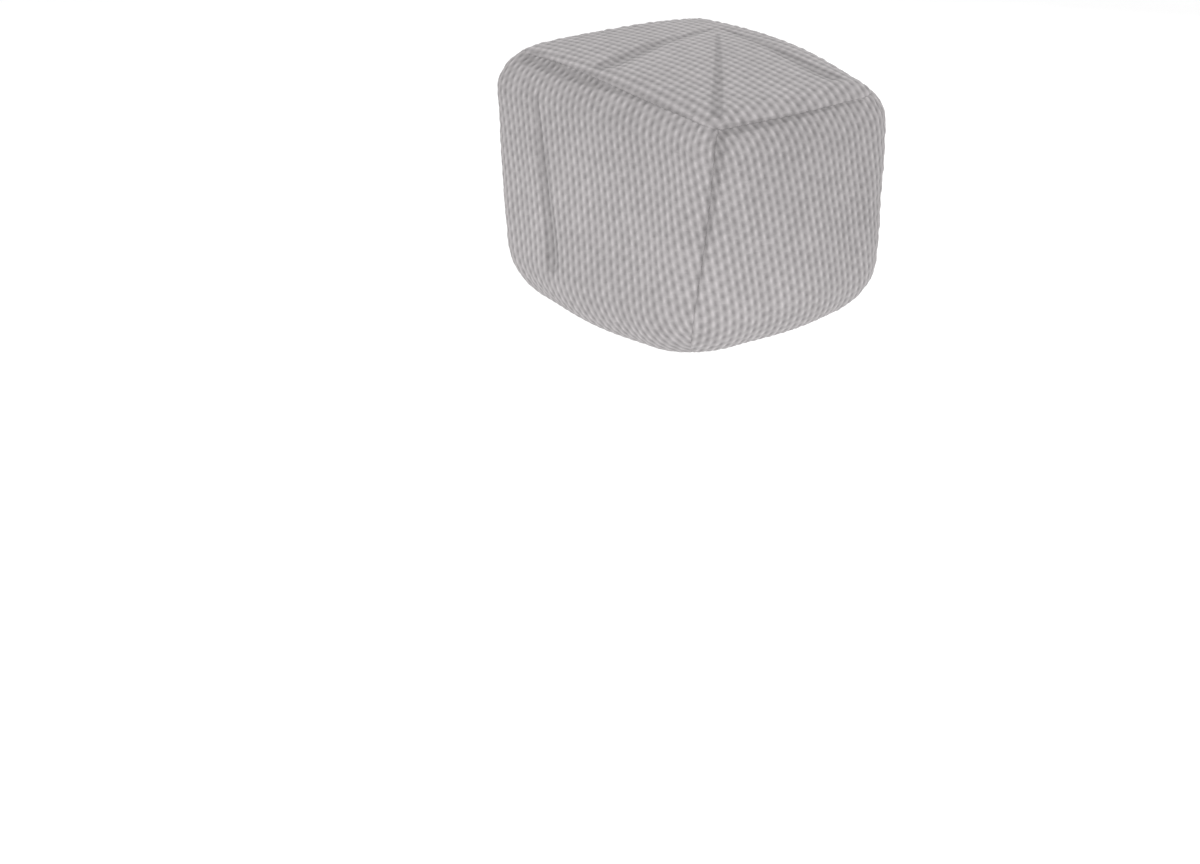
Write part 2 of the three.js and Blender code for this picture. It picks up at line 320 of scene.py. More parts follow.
def seamAngle(ring):
    # How far up the rounded top edge the seam lies, eased from corner to corner
    angles = np.radians(coverForm["seamAngles"])
    side = np.floor(ring).astype(int) % 4
    return mix(angles[side], angles[(side + 1) % 4], smoothstep(ring - np.floor(ring), 0, 1))


def riseAt(rise, x, y):
    # tilts + twist x along x across - crowns x squares, with along and across as shares of the half sizes
    along, across = x / coverForm["halfLength"], y / coverForm["halfWidth"]
    tilt = rise["tiltAlong"] * along + rise["tiltAcross"] * across + rise["twist"] * along * across
    return tilt - rise["crownAlong"] * along**2 - rise["crownAcross"] * across**2


def girth(ring):
    # At a ring place: the seam's angle, the flat top's edge, and the lengths down the cover, which are
    # from the flat top to the seam, the flat top itself, from the seam to the straight wall, the whole
    # wall and its straight stretch
    form = coverForm
    seam = seamAngle(ring)
    rim = planPoint(ring, np.full(len(ring), form["topRound"]), np.zeros(len(ring)))
    wall = form["height"] - form["topRound"] - form["lowRound"]
    return {
        "seam": seam,
        "rim": rim,
        "topArc": form["topRound"] * (np.pi / 2 - seam),
        "flat": np.linalg.norm(rim, axis=1),
        "wallArc": form["topRound"] * seam,
        "wall": form["topRound"] * seam + wall + form["lowRound"] * np.radians(form["drawnIn"]),
        "straight": wall,
    }


def formPoint(ring, along):
    # Smooth outer form. along is -1 in the middle of the top, 0 at the top seam and 1 at the hem's edge,
    # evenly by length: the flat top, an arc of topRound, the straight wall, and an arc of lowRound that
    # draws it in.
    form = coverForm
    size = girth(ring)
    topReach = -along * (size["topArc"] + size["flat"])
    reach = along * size["wall"]
    onTop = (along < 0) & (topReach >= size["topArc"])
    onTopEdge = ~onTop & (reach < size["wallArc"])
    onLowEdge = reach > size["wallArc"] + size["straight"]
    topAngle = size["seam"] + np.where(along < 0, topReach, -reach) / form["topRound"]
    lowAngle = -(reach - size["wallArc"] - size["straight"]) / form["lowRound"]
    straightLevel = -form["topRound"] - (reach - size["wallArc"])
    topLevel = form["topRound"] * (np.sin(topAngle) - 1)
    lowLevel = form["lowRound"] * (np.sin(lowAngle) + 1) - form["height"]
    topInset = form["topRound"] * (1 - np.cos(topAngle))
    lowInset = form["lowRound"] * (1 - np.cos(lowAngle))
    none = np.zeros(len(reach))
    places = [onTop, onTopEdge, onLowEdge]
    level = np.select(places, [none, topLevel, lowLevel], straightLevel)
    inset = np.select(places, [none, topInset, lowInset], none)
    depth = np.clip(-level / form["height"], 0, 1)
    plan = planPoint(ring, inset, depth)
    shrink = np.maximum(1 - (topReach - size["topArc"]) / size["flat"], 0)
    plan = np.where(onTop[:, None], size["rim"] * shrink[:, None], plan)
    x, y = plan[:, 0], plan[:, 1]
    rise = (1 - depth) ** 2 * riseAt(topRise, x, y) + depth**2 * riseAt(hemRise, x, y)
    return np.stack([x, y, level + rise + clothSheet["thickness"]], 1)


def clothFrame(ring, along):
    # Direction down the cloth and the outward normal, by small differences: down x across
    step = 0.002
    across = formPoint(np.mod(ring + step, 4), along) - formPoint(np.mod(ring - step, 4), along)
    down = formPoint(ring, np.minimum(along + step, 1)) - formPoint(ring, np.maximum(along - step, -1))
    normal = unit(np.cross(down, across))
    normal[along < step - 1] = (0, 0, 1)
    return unit(down), normal


def foldDepth(points):
    # Sum over the folds of depth x exp(-(distance / half width)^2), each by its deepest leg and no
    # narrower than softestFold; the second result is the mask of painted shade in the creases: 1 inside
    # a crease, falling to 0 beyond
    deep, paintedCreaseShade = np.zeros(len(points)), np.zeros(len(points))
    for path in coverFolds.values():
        deepest, shaded = np.zeros(len(points)), np.zeros(len(points))
        for a, b in zip(np.array(path[:-1]), np.array(path[1:])):
            leg = b[:3] - a[:3]
            share = np.clip((points - a[:3]) @ leg / (leg @ leg), 0, 1)
            distance = np.linalg.norm(points - a[:3] - share[:, None] * leg, axis=1)
            wide, depth = mix(a[3], b[3], share), mix(a[4], b[4], share)
            softened = np.maximum(wide, softestFold)
            deepest = np.maximum(deepest, depth * np.exp(-((distance / softened) ** 2)))
            shaded = np.maximum(shaded, 1 - smoothstep(distance, wide + shadeEnds[0], wide + shadeEnds[1]))
        deep += deepest
        paintedCreaseShade = np.maximum(paintedCreaseShade, shaded)
    return deep, paintedCreaseShade


def uneven(points):
    # Sum of height x sin(2 pi (place along the wave) / length + start)
    total = np.zeros(len(points))
    for wave in unevenness:
        along = points @ unit(np.array(wave["towards"]))
        total += wave["height"] * np.sin(2 * np.pi * along / wave["length"] + wave["start"])
    return total


def threadBell(u, v, width, length):
    # Long bell exp(-(across / width)^2 - (along / length)^2) round the nearest float of thread i, which
    # has one every two weft threads, each thread's one step on from the last one's
    column = np.round(u)
    along = v - column - 2 * np.round((v - column) / 2)
    return np.exp(-(((u - column) / width) ** 2) - (along / length) ** 2)


def weaveRelief(x, y):
    # Floats raised, hollows sunk, and the weft between them crowned a little
    u, v = x / weave["warpPitch"], y / weave["weftPitch"]
    raised = threadBell(u, v, *weave["float"])
    sunk = threadBell(u - weave["hollowPlace"][0], v - weave["hollowPlace"][1], *weave["hollow"])
    between = weave["weftCrown"] * np.cos(2 * np.pi * v) * (1 - raised) * (1 - sunk)
    return weave["floatHeight"] * raised - weave["hollowDepth"] * sunk + between


def seamRelief(edge, place):
    # Groove -depth x exp(-(edge / width)^2), and puckers that are nil at the seam and largest at their
    # reach
    look = seamLook
    groove = look["grooveDepth"] * np.exp(-((edge / look["grooveWidth"]) ** 2))
    swell = edge / look["puckerReach"] * np.exp(1 - edge / look["puckerReach"])
    return look["puckerHeight"] * swell * np.sin(2 * np.pi * place / look["puckerPitch"]) - groove


def gridQuads(columns, rows, first=0):
    # Corners of each cell of a grid of (columns + 1) x (rows + 1) points, columns first
    at = first + np.arange((columns + 1) * (rows + 1)).reshape(columns + 1, rows + 1)
    return np.stack([at[:-1, :-1], at[1:, :-1], at[1:, 1:], at[:-1, 1:]], -1).reshape(-1, 4)


def borderPath(columns, rows, first=0):
    # Indices round a grid's border, starting and ending at its first point
    at = first + np.arange((columns + 1) * (rows + 1)).reshape(columns + 1, rows + 1)
    return np.concatenate([at[:-1, 0], at[-1, :-1], at[:0:-1, -1], at[0, ::-1]])


def bakePlaces(grid, low, high):
    # Even places on the bake's map for a grid, between two corners of the map
    across, down = np.meshgrid(np.linspace(0, 1, grid[0]), np.linspace(0, 1, grid[1]), indexing="ij")
    return np.stack([mix(low[0], high[0], across), mix(low[1], high[1], 1 - down)], -1).reshape(-1, 2)


def makeSheet(name, outer, inner, outerWeave, innerWeave, paintedCreaseShade, singleRows, turned):
    # Closed sheet from an outer grid, a coarser inner grid and the rim between their borders. singleRows
    # is the number of last rows that both grids have; elsewhere the outer grid has innerEvery steps to
    # one. turned says that a grid's own faces point inwards.
    every = clothSheet["innerEvery"]
    outerSize, innerSize = np.array(outer.shape[:2]) - 1, np.array(inner.shape[:2]) - 1
    first = outer.shape[0] * outer.shape[1]
    outerQuads, innerQuads = gridQuads(*outerSize), gridQuads(*innerSize, first)
    if turned:
        outerQuads = outerQuads[:, ::-1]
    else:
        innerQuads = innerQuads[:, ::-1]

    # The rim, a face for each step of the inner border
    mainRows = innerSize[1] - singleRows
    steps = np.concatenate([
        np.full(innerSize[0], every),
        np.full(mainRows, every), np.ones(singleRows, int),
        np.full(innerSize[0], every),
        np.ones(singleRows, int), np.full(mainRows, every),
    ])
    finePath, coarsePath = borderPath(*outerSize), borderPath(*innerSize, first)
    ends = np.concatenate([[0], np.cumsum(steps)])
    rim = []
    for k, step in enumerate(steps):
        face = [*finePath[ends[k] : ends[k] + step + 1][::-1], coarsePath[k], coarsePath[k + 1]]
        rim.append(face[::-1] if turned else face)

    corners = np.concatenate([outerQuads.ravel(), innerQuads.ravel(), np.concatenate(rim)])
    counts = np.concatenate([np.full(len(outerQuads) + len(innerQuads), 4), [len(face) for face in rim]])
    mesh = bpy.data.meshes.new(name)
    points = np.concatenate([outer.reshape(-1, 3), inner.reshape(-1, 3)])
    mesh.vertices.add(len(points))
    mesh.vertices.foreach_set("co", points.astype(np.float32).ravel())
    mesh.loops.add(len(corners))
    mesh.loops.foreach_set("vertex_index", corners.astype(np.int32))
    mesh.polygons.add(len(counts))
    mesh.polygons.foreach_set("loop_start", (np.cumsum(counts) - counts).astype(np.int32))
    mesh.update(calc_edges=True)
    mesh.validate()
    mesh.shade_smooth()

    # Weave map, in threads
    threads = np.concatenate([outerWeave, innerWeave]) / (weave["warpPitch"], weave["weftPitch"])
    weaveMap = mesh.uv_layers.new(name="weave")
    weaveMap.uv.foreach_set("vector", threads[corners].astype(np.float32).ravel())

    # Bake's map, where the rim is the outer skin's border pushed out by the frame's width
    border, outerLow = bakeLayout["border"], bakeLayout["outerLow"]
    low, high = 2 * border, 1 - 2 * border
    places = np.concatenate([
        bakePlaces(outer.shape[:2], (low, outerLow), (high, high)),
        bakePlaces(inner.shape[:2], (low, low), (high, bakeLayout["innerHigh"])),
    ])
    bakeUv = places[corners]
    rimStart = 4 * (len(outerQuads) + len(innerQuads))
    middle = np.array([0.5, (outerLow + high) / 2])
    half = np.array([0.5 - low, (high - outerLow) / 2])
    pushed = np.zeros((len(points), 2))
    pushed[coarsePath] = middle + (places[finePath[ends]] - middle) * (1 + border / half)
    rimCorners = corners[rimStart:]
    isInner = rimCorners >= first
    bakeUv[rimStart:][isInner] = pushed[rimCorners[isInner]]
    bakeMap = mesh.uv_layers.new(name="OFBake")
    bakeMap.uv.foreach_set("vector", bakeUv.astype(np.float32).ravel())
    mesh.uv_layers.active = weaveMap

    # Mask of the painted shade in the creases, on the outer skin; none on the inner
    paintedCreaseShadeValues = np.concatenate([paintedCreaseShade, np.zeros(len(innerWeave))])
    mesh.attributes.new("paintedCreaseShade", "FLOAT", "POINT").data.foreach_set("value", paintedCreaseShadeValues.astype(np.float32))
    piece = bpy.data.objects.new(name, mesh)
    bpy.context.scene.collection.objects.link(piece)
    print(name, len(outerQuads), "outer and", len(innerQuads), "inner faces")
    return piece


def steppedCount(length, spacing):
    # Number of steps of about the spacing, a multiple of innerEvery
    every = clothSheet["innerEvery"]
    return every * int(round(length / spacing / every))


# How the weave lies on a panel: rise of the weft to one side, and lean of the warp and spread of the
# cloth in the middle and at the cover's next corner; the change starts this far from the middle and takes
# this length
grains = {
    "level": {"rise": 0.0, "lean": 0.0, "edgeLean": 0.0, "spread": 1.0, "edgeSpread": 1.0},
    "leaning": {"rise": 0.0, "lean": 0.24, "edgeLean": 0.24, "spread": 0.85, "edgeSpread": 0.85},
    "risingAft": {"rise": 0.35, "lean": 0.27, "edgeLean": 0.22, "spread": 1.16, "edgeSpread": 0.85},
}
grainChange = {"start": 0.130, "length": 0.110}


def weavePlaces(across, down, grain):
    # Weave places (across - lean x down) / spread and down + rise x across. Past the start of the change
    # the rise dies away evenly within its length, while lean and spread turn to those of the edge.
    past = np.maximum(across - grainChange["start"], 0)
    eased = past**2 / (2 * grainChange["length"])
    rise = grain["rise"] * (across - eased)
    lean = mix(grain["lean"], grain["edgeLean"], smoothstep(past, 0, grainChange["length"]))
    narrowed = (1 / grain["edgeSpread"] - 1 / grain["spread"]) * eased
    return np.stack([(across - lean * down) / grain["spread"] + narrowed, down + rise], 1)


def clothSurface(ring, along, edge, seamPlace, places):
    # Outer skin: the form, less its folds, with unevenness, seams and weave raised along the normal
    form = formPoint(ring, along)
    down, normal = clothFrame(ring, along)
    deep, paintedCreaseShade = foldDepth(form)
    fade = smoothstep(edge, *weave["seamFade"])
    raised = uneven(form) + seamRelief(edge, seamPlace) + fade * weaveRelief(places[:, 0], places[:, 1])
    base = form - normal * (deep + clothSheet["settle"])[:, None]
    return base, base + normal * raised[:, None], down, normal, paintedCreaseShade


def wallPanel(name, side, grid, spacing, grain):
    # One wall: columns run round the cover, rows run down from the top seam to the turned hem
    columns, rows = steppedCount(grid[0], spacing), steppedCount(grid[1], spacing)
    aroundSteps, downSteps = side + np.linspace(0, 1, columns + 1), np.linspace(0, 1, rows + 1)
    ring, along = (value.ravel() for value in np.meshgrid(aroundSteps, downSteps, indexing="ij"))
    ring = np.mod(ring, 4)
    form = formPoint(ring, along).reshape(columns + 1, rows + 1, 3)
    stepLengths = np.linalg.norm(np.diff(form, axis=0), axis=2)
    fromStart = np.concatenate([np.zeros((1, rows + 1)), np.cumsum(stepLengths, axis=0)])
    size = girth(ring)
    fromSeam = (along * size["wall"]).reshape(columns + 1, rows + 1)

    # Weave places: level along the wall from its middle, and down the wall from a level line halfway down
    levelLine = coverForm["height"] / 2 - coverForm["topRound"]
    across = fromStart - fromStart[columns // 2]
    downwards = fromSeam - size["wallArc"].reshape(columns + 1, rows + 1) - levelLine
    places = weavePlaces(across.ravel(), downwards.ravel(), grain)

    sides = np.minimum(fromStart, fromStart[-1] - fromStart)
    edge = np.minimum(sides, fromSeam)
    seamPlace = np.where(sides < fromSeam, downwards, across)
    base, outer, down, normal, paintedCreaseShade = clothSurface(ring, along, edge.ravel(), seamPlace.ravel(), places)

    hemStart = clothSheet["hemShare"] * clothSheet["hemEase"]
    hem = smoothstep(along, 1 - hemStart, 1 - clothSheet["hemShare"])
    thickness = clothSheet["thickness"] + clothSheet["hemExtra"] * hem
    inner = base - normal * thickness[:, None]
    shape = (columns + 1, rows + 1)
    outer, inner, down, normal = (value.reshape(*shape, 3) for value in (outer, inner, down, normal))
    places, paintedCreaseShade = places.reshape(*shape, 2), paintedCreaseShade.reshape(shape)

    # Rounded lower edge: both skins go on round half a circle as thick as the hem
    every = clothSheet["innerEvery"]
    radius = np.linalg.norm(outer[:, -1] - inner[:, -1], axis=1)[:, None] / 2
    centre = (outer[:, -1] + inner[:, -1]) / 2

    def turn(degrees):
        angle = np.radians(degrees)
        return centre + radius * (np.cos(angle) * normal[:, -1] + np.sin(angle) * down[:, -1])

    outerTurn = np.stack([turn(degrees) for degrees in lowerEdge["outerAngles"]], 1)
    innerTurn = np.stack([turn(degrees) for degrees in lowerEdge["innerAngles"]], 1)[::every]
    turnRows = len(lowerEdge["outerAngles"])
    further = np.arange(1, turnRows + 1) * lowerEdge["weaveStep"]
    turnPlaces = places[:, -1:] + np.stack([0 * further, further], -1)
    outerWeave = np.concatenate([places, turnPlaces], 1).reshape(-1, 2)
    innerWeave = np.concatenate([places[::every, ::every], turnPlaces[::every]], 1).reshape(-1, 2)
    outer = np.concatenate([outer, outerTurn], 1)
    inner = np.concatenate([inner[::every, ::every], innerTurn], 1)
    paintedCreaseShade = np.concatenate([paintedCreaseShade, np.repeat(paintedCreaseShade[:, -1:], turnRows, axis=1)], 1)
    return makeSheet(name, outer, inner, outerWeave, innerWeave, paintedCreaseShade.ravel(), turnRows, True)


def topRing(a, b, reach):
    # Ring place of a point of the square grid that covers the top, by the side of its square ring that it
    # is on and how far along that side; a runs along the length, b across it
    safe = np.maximum(reach, 1e-9)
    ring = np.select(
        [-b >= np.abs(a), a >= np.abs(b), b >= np.abs(a)],
        [(1 + a / safe) / 2, 1 + (1 + b / safe) / 2, 2 + (1 - a / safe) / 2],
        3 + (1 - b / safe) / 2,
    )
    return np.where(reach < 1e-9, 0, np.mod(ring, 4))


# Shares of a point's x and y in its way out over the top's rounded edge
topOutward = (0.6, 1.0)


def topPanel(name, grid, spacing, grain):
    # The top: square rings of the grid become the rings of the form, from the seam to the middle
    columns, rows = steppedCount(grid[0], spacing), steppedCount(grid[1], spacing)
    a, b = np.meshgrid(np.linspace(-1, 1, columns + 1), np.linspace(-1, 1, rows + 1), indexing="ij")
    a, b = a.ravel(), b.ravel()
    reach = np.maximum(np.abs(a), np.abs(b))
    ring, along = topRing(a, b, reach), reach - 1
    size = girth(ring)
    edge = -along * (size["topArc"] + size["flat"])

    # Weave places: the plan itself, and on the rounded edge farther out by its arc less the plan's run
    form = formPoint(ring, along)
    arc = np.maximum(size["topArc"] - edge, 0)
    further = arc - coverForm["topRound"] * np.sin(arc / coverForm["topRound"])
    places = form[:, :2] + unit(form[:, :2] * topOutward) * further[:, None]
    places = weavePlaces(places[:, 1], places[:, 0], grain)

    corners = np.array(coverForm["topCorners"])
    sideLengths = np.linalg.norm(np.roll(corners, -1, axis=0) - corners, axis=1)
    side = np.floor(ring).astype(int) % 4
    seamPlace = (ring - np.floor(ring) - 0.5) * sideLengths[side]
    base, outer, down, normal, paintedCreaseShade = clothSurface(ring, along, edge, seamPlace, places)
    inner = base - normal * clothSheet["thickness"]
    shape = (columns + 1, rows + 1)
    every = clothSheet["innerEvery"]
    innerWeave = places.reshape(*shape, 2)[::every, ::every].reshape(-1, 2)
    inner = inner.reshape(*shape, 3)[::every, ::every]
    return makeSheet(name, outer.reshape(*shape, 3), inner, places, innerWeave, paintedCreaseShade, 0, False)


def feed(tree, socket, value):
    # Links a socket's value, or sets a plain one
    if isinstance(value, bpy.types.NodeSocket):
        tree.links.new(value, socket)
    else:
        socket.default_value = value


def mathNode(tree, operation, *values):
    node = tree.nodes.new("ShaderNodeMath")
    node.operation = operation
    for socket, value in zip(node.inputs, values):
        feed(tree, socket, value)
    return node.outputs[0]


def mapNode(tree, value, fromLow, fromHigh, toLow, toHigh, smooth=True):
    node = tree.nodes.new("ShaderNodeMapRange")
    node.interpolation_type = "SMOOTHSTEP" if smooth else "LINEAR"
    for socket, number in zip(node.inputs, (value, fromLow, fromHigh, toLow, toHigh)):
        feed(tree, socket, number)
    return node.outputs["Result"]


def noiseNode(tree, vector, scale, detail=2.0):
    node = tree.nodes.new("ShaderNodeTexNoise")
    tree.links.new(vector, node.inputs["Vector"])
    node.inputs["Scale"].default_value = scale
    node.inputs["Detail"].default_value = detail
    return node.outputs["Fac"]


def mixNode(tree, share, low, high, blend="MIX"):
    node = tree.nodes.new("ShaderNodeMix")
    node.data_type = "RGBA"
    node.blend_type = blend
    feed(tree, node.inputs["Factor"], share)
    feed(tree, node.inputs["A"], low)
    feed(tree, node.inputs["B"], high)
    return node.outputs["Result"]


def combineNode(tree, x, y, z=0.0):
    node = tree.nodes.new("ShaderNodeCombineXYZ")
    for socket, value in zip(node.inputs, (x, y, z)):
        feed(tree, socket, value)
    return node.outputs[0]


def newGroup(name, inputs, outputs):
    tree = bpy.data.node_groups.new(name, "ShaderNodeTree")
    for socketName, kind in inputs:
        tree.interface.new_socket(name=socketName, in_out="INPUT", socket_type=kind)
    for socketName, kind in outputs:
        tree.interface.new_socket(name=socketName, in_out="OUTPUT", socket_type=kind)
    return tree, tree.nodes.new("NodeGroupInput").outputs, tree.nodes.new("NodeGroupOutput").inputs


# Tones and fibres of the threads, by noise: how far apart two threads lie in it, its scale for the tones,
# how many fibres lie side by side in a thread, their scale and detail, and a level of the noise for each
# of the four
threadNoise = {
    "apart": 3.7,
    "toneScale": 0.45,
    "fibres": 9.0,
    "fibreScale": 1.6,
    "fibreDetail": 3.0,
    "levels": {"warpTone": 1.0, "weftTone": 7.0, "warpFibre": 3.0, "weftFibre": 5.0},
}


def bellNodes(tree, u, v, width, length):
    # exp(-(across / width)^2 - (along / length)^2) round the nearest float, as threadBell works it out
    column = mathNode(tree, "ROUND", u)
    across = mathNode(tree, "DIVIDE", mathNode(tree, "SUBTRACT", u, column), width)
    place = mathNode(tree, "SUBTRACT", v, column)
    nearest = mathNode(tree, "ROUND", mathNode(tree, "MULTIPLY", place, 0.5))
    along = mathNode(tree, "SUBTRACT", place, mathNode(tree, "MULTIPLY", nearest, 2.0))
    along = mathNode(tree, "DIVIDE", along, length)
    squares = mathNode(tree, "MULTIPLY_ADD", across, across, mathNode(tree, "MULTIPLY", along, along))
    return mathNode(tree, "EXPONENT", mathNode(tree, "MULTIPLY", squares, -1.0))


def makeWeaveGroup():
    # The same weave as the relief: where a float or a hollow shows, how high the threads stand, each
    # thread's own tone and its fibres
    results = ["Float", "Hollow", "Height", "Tone", "Fibre"]
    tree, given, made = newGroup(
        "coarseWeave",
        [("Threads", "NodeSocketVector")],
        [(result, "NodeSocketFloat") for result in results],
    )
    split = tree.nodes.new("ShaderNodeSeparateXYZ")
    tree.links.new(given["Threads"], split.inputs[0])
    u, v = split.outputs[0], split.outputs[1]
    column, row = mathNode(tree, "ROUND", u), mathNode(tree, "ROUND", v)

    raised = bellNodes(tree, u, v, *weave["float"])
    besideU = mathNode(tree, "SUBTRACT", u, weave["hollowPlace"][0])
    besideV = mathNode(tree, "SUBTRACT", v, weave["hollowPlace"][1])
    sunk = bellNodes(tree, besideU, besideV, *weave["hollow"])
    tree.links.new(raised, made["Float"])
    tree.links.new(sunk, made["Hollow"])
    tree.links.new(mathNode(tree, "SUBTRACT", raised, sunk), made["Height"])

    # Tone of each thread, which changes from float to float, and fibres that run along the threads
    noise, levels = threadNoise, threadNoise["levels"]
    warpPlace = combineNode(tree, mathNode(tree, "MULTIPLY", column, noise["apart"]), v, levels["warpTone"])
    weftPlace = combineNode(tree, u, mathNode(tree, "MULTIPLY", row, noise["apart"]), levels["weftTone"])
    warpTone = noiseNode(tree, warpPlace, noise["toneScale"])
    weftTone = noiseNode(tree, weftPlace, noise["toneScale"])
    tree.links.new(mapNode(tree, raised, 0.0, 1.0, weftTone, warpTone, smooth=False), made["Tone"])
    warpPlace = combineNode(tree, mathNode(tree, "MULTIPLY", u, noise["fibres"]), v, levels["warpFibre"])
    weftPlace = combineNode(tree, u, mathNode(tree, "MULTIPLY", v, noise["fibres"]), levels["weftFibre"])
    warpFibre = noiseNode(tree, warpPlace, noise["fibreScale"], noise["fibreDetail"])
    weftFibre = noiseNode(tree, weftPlace, noise["fibreScale"], noise["fibreDetail"])
    tree.links.new(mapNode(tree, raised, 0.0, 1.0, weftFibre, warpFibre, smooth=False), made["Fibre"])
    return tree


# Grey cloth: floats lightened by a painted highlight over a middle grey, hollows between them darkened by
# painted shade, and a little painted shade in the folds. Tones are shares of the brightness; the
# tone heights are where a panel's painted shade low down and high up is full, by z + towardsStarboard y;
# toneNoise and roughNoise are the values of the noise between which tones and roughness run.
greyCloth = {
    # The float colour is a painted highlight on the raised floats, the hollow colour painted shade in the
    # hollows
    "floatPaintedHighlight": (0.478, 0.454, 0.460, 1),
    "weftColour": (0.356, 0.338, 0.342, 1),
    "hollowPaintedShade": (0.250, 0.237, 0.240, 1),
    "paintedCreaseDarkening": 0.20,
    "threadTones": 0.09,
    "fibreTones": 0.06,
    "patchTones": 0.03,
    "patchScale": 9.0,
    "patchDetail": 3.0,
    "toneNoise": (0.25, 0.75),
    "paintedShadeHeights": (-0.30, -0.05),
    "towardsStarboard": 0.6,
    "roughness": (0.82, 0.95),
    "roughNoise": (0.2, 0.8),
    "fibreRelief": 0.6,
    "bumpStrength": 0.7,
    "bumpDistance": 0.0004,
    "sheen": 0.10,
    "sheenRoughness": 0.5,
    "specular": 0.25,
}


def clothMaterial(name, weaveGroup, paintedShadeByHeight):
    look = greyCloth
    material = bpy.data.materials.new(name)
    material.use_nodes = True
    tree = material.node_tree
    shader = tree.nodes["Principled BSDF"]
    uvMap = tree.nodes.new("ShaderNodeUVMap")
    uvMap.uv_map = "weave"
    woven = tree.nodes.new("ShaderNodeGroup")
    woven.node_tree = weaveGroup
    tree.links.new(uvMap.outputs["UV"], woven.inputs["Threads"])
    paintedCreaseShade = tree.nodes.new("ShaderNodeAttribute")
    paintedCreaseShade.attribute_name = "paintedCreaseShade"
    place = tree.nodes.new("ShaderNodeTexCoord")

    # Painted shade: the cloth a little darker high up and towards starboard
    split = tree.nodes.new("ShaderNodeSeparateXYZ")
    tree.links.new(place.outputs["Object"], split.inputs[0])
    sideways = mathNode(tree, "MULTIPLY", split.outputs[1], look["towardsStarboard"])
    high = mathNode(tree, "ADD", split.outputs[2], sideways)
    brightness = mapNode(tree, high, *look["paintedShadeHeights"], *paintedShadeByHeight)

    # Painted highlight on the raised floats and painted shade in the hollows beside them
    colour = mixNode(tree, woven.outputs["Float"], look["weftColour"], look["floatPaintedHighlight"])
    colour = mixNode(tree, woven.outputs["Hollow"], colour, look["hollowPaintedShade"])
    patches = noiseNode(tree, place.outputs["Object"], look["patchScale"], look["patchDetail"])
    tones = [
        (woven.outputs["Tone"], look["threadTones"]),
        (woven.outputs["Fibre"], look["fibreTones"]),
        (patches, look["patchTones"]),
    ]
    for mask, amount in tones:
        tone = mapNode(tree, mask, *look["toneNoise"], 1 - amount, 1 + amount)
        brightness = mathNode(tree, "MULTIPLY", brightness, tone)
    # Painted shade: the cloth darkened inside the creases
    shade = mathNode(tree, "MULTIPLY", paintedCreaseShade.outputs["Fac"], -look["paintedCreaseDarkening"])
    brightness = mathNode(tree, "MULTIPLY", brightness, mathNode(tree, "ADD", shade, 1.0))
    grey = combineNode(tree, brightness, brightness, brightness)
    colour = mixNode(tree, 1.0, colour, grey, "MULTIPLY")
    tree.links.new(colour, shader.inputs["Base Color"])

    roughness = mapNode(tree, woven.outputs["Fibre"], *look["roughNoise"], *look["roughness"])
    tree.links.new(roughness, shader.inputs["Roughness"])
    fibres = mathNode(tree, "MULTIPLY", woven.outputs["Fibre"], look["fibreRelief"])
    relief = mathNode(tree, "ADD", woven.outputs["Height"], fibres)
    bump = tree.nodes.new("ShaderNodeBump")
    bump.inputs["Strength"].default_value = look["bumpStrength"]
    bump.inputs["Distance"].default_value = look["bumpDistance"]
    tree.links.new(relief, bump.inputs["Height"])
    tree.links.new(bump.outputs["Normal"], shader.inputs["Normal"])
    shader.inputs["Sheen Weight"].default_value = look["sheen"]
    shader.inputs["Sheen Roughness"].default_value = look["sheenRoughness"]
    shader.inputs["Specular IOR Level"].default_value = look["specular"]
    return material


# Panels: side of the cover, size and spacing of the outer skin's grid, how the weave lies, tones of the
# cloth low down and high up as painted shade, and the cloth cut for it
panels = {
    "portCloth": {
        "node": "port_panel",
        "slot": "port_cloth",
        "side": 0,
        "grid": (0.476, 0.312),
        "spacing": 0.00142,
        "grain": "risingAft",
        "tones": (1.02, 0.925),
        "flat": (0.520, 0.335),
        "area": 0.1476,
    },
    "aftCloth": {
        "node": "aft_panel",
        "slot": "aft_cloth",
        "side": 1,
        "grid": (0.285, 0.300),
        "spacing": 0.00115,
        "grain": "leaning",
        "tones": (1.03, 0.88),
        "flat": (0.320, 0.320),
        "area": 0.0848,
    },
    "starboardCloth": {
        "node": "starboard_panel",
        "slot": "starboard_cloth",
        "side": 2,
        "grid": (0.440, 0.312),
        "spacing": 0.00150,
        "grain": "level",
        "tones": (1.02, 0.98),
        "flat": (0.500, 0.335),
        "area": 0.1338,
    },
    "forwardCloth": {
        "node": "forward_panel",
        "slot": "forward_cloth",
        "side": 3,
        "grid": (0.310, 0.312),
        "spacing": 0.00140,
        "grain": "level",
        "tones": (1.02, 0.94),
        "flat": (0.350, 0.340),
        "area": 0.0972,
    },
    "topCloth": {
        "node": "top_panel",
        "slot": "top_cloth",
        "side": None,
        "grid": (0.455, 0.275),
        "spacing": 0.00130,
        "grain": "level",
        "tones": (0.98, 0.955),
        "flat": (0.470, 0.300),
        "area": 0.1210,
    },
}

weaveGroup = makeWeaveGroup()
for name, panel in panels.items():
    grain = grains[panel["grain"]]
    if panel["side"] is None:
        piece = topPanel(name, panel["grid"], panel["spacing"], grain)
    else:
        piece = wallPanel(name, panel["side"], panel["grid"], panel["spacing"], grain)
    piece.data.materials.append(clothMaterial(name + "Weave", weaveGroup, panel["tones"]))
    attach(piece, "root")
    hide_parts(panel["node"])
print("panels sewn:", len(panels))


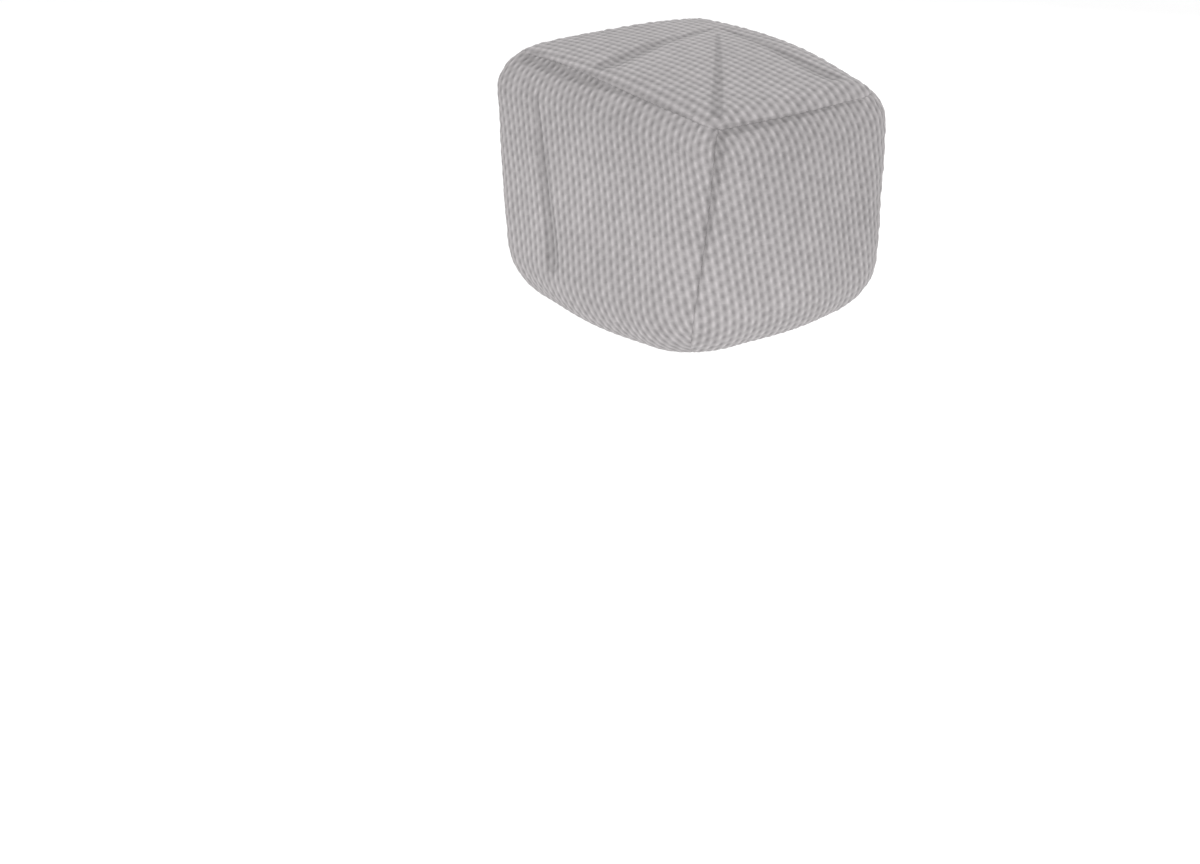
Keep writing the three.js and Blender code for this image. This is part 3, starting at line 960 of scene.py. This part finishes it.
# Studio: a pale floor with faint patches, an even pale surround and three broad soft lights
studio = {
    "floorLevel": -0.96,
    "floorRadius": 40.0,
    "floorSides": 64,
    "floorColour": (0.97, 0.97, 0.97, 1),
    "floorRoughness": 0.8,
    "patchScale": 3.0,
    "patchDetail": 4.0,
    "patchNoise": (0.3, 0.7),
    "darkestPatch": 0.985,
    "surround": 1.01,
    "lights": [
        {"name": "keyLight", "from": (1.0, -3.5, 1.2), "size": 3.0, "power": 24},
        {"name": "fillLight", "from": (3.6, 0.4, 0.5), "size": 3.0, "power": 24},
        {"name": "backLight", "from": (-2.6, 3.0, 0.9), "size": 3.0, "power": 20},
    ],
}


def addFloor():
    angles = np.linspace(0, 2 * np.pi, studio["floorSides"] + 1)[:-1]
    radius, level = studio["floorRadius"], studio["floorLevel"]
    rim = [(radius * np.cos(angle), radius * np.sin(angle), level) for angle in angles]
    mesh = bpy.data.meshes.new("paleFloor")
    mesh.from_pydata(rim, [], [list(range(len(rim)))])
    floor = bpy.data.objects.new("paleFloor", mesh)
    bpy.context.scene.collection.objects.link(floor)
    material = bpy.data.materials.new("paleFloor")
    material.use_nodes = True
    tree = material.node_tree
    shader = tree.nodes["Principled BSDF"]
    place = tree.nodes.new("ShaderNodeTexCoord")
    patches = noiseNode(tree, place.outputs["Object"], studio["patchScale"], studio["patchDetail"])
    faint = mapNode(tree, patches, *studio["patchNoise"], studio["darkestPatch"], 1.0)
    grey = combineNode(tree, faint, faint, faint)
    tree.links.new(mixNode(tree, 1.0, studio["floorColour"], grey, "MULTIPLY"), shader.inputs["Base Color"])
    shader.inputs["Roughness"].default_value = studio["floorRoughness"]
    mesh.materials.append(material)


def addLights():
    scene = bpy.context.scene
    world = bpy.data.worlds.new("paleSurround")
    world.use_nodes = True
    background = world.node_tree.nodes["Background"]
    background.inputs["Color"].default_value = (1, 1, 1, 1)
    background.inputs["Strength"].default_value = studio["surround"]
    scene.world = world
    for light in studio["lights"]:
        data = bpy.data.lights.new(light["name"], "AREA")
        data.shape = "DISK"
        data.size = light["size"]
        data.energy = light["power"]
        lamp = bpy.data.objects.new(light["name"], data)
        start = Vector(light["from"])
        towardsCover = (-start).to_track_quat("-Z", "Y").to_matrix().to_4x4()
        lamp.matrix_world = Matrix.Translation(start) @ towardsCover
        scene.collection.objects.link(lamp)
    scene.view_settings.view_transform = "Standard"


addFloor()
addLights()
print("studio lit")
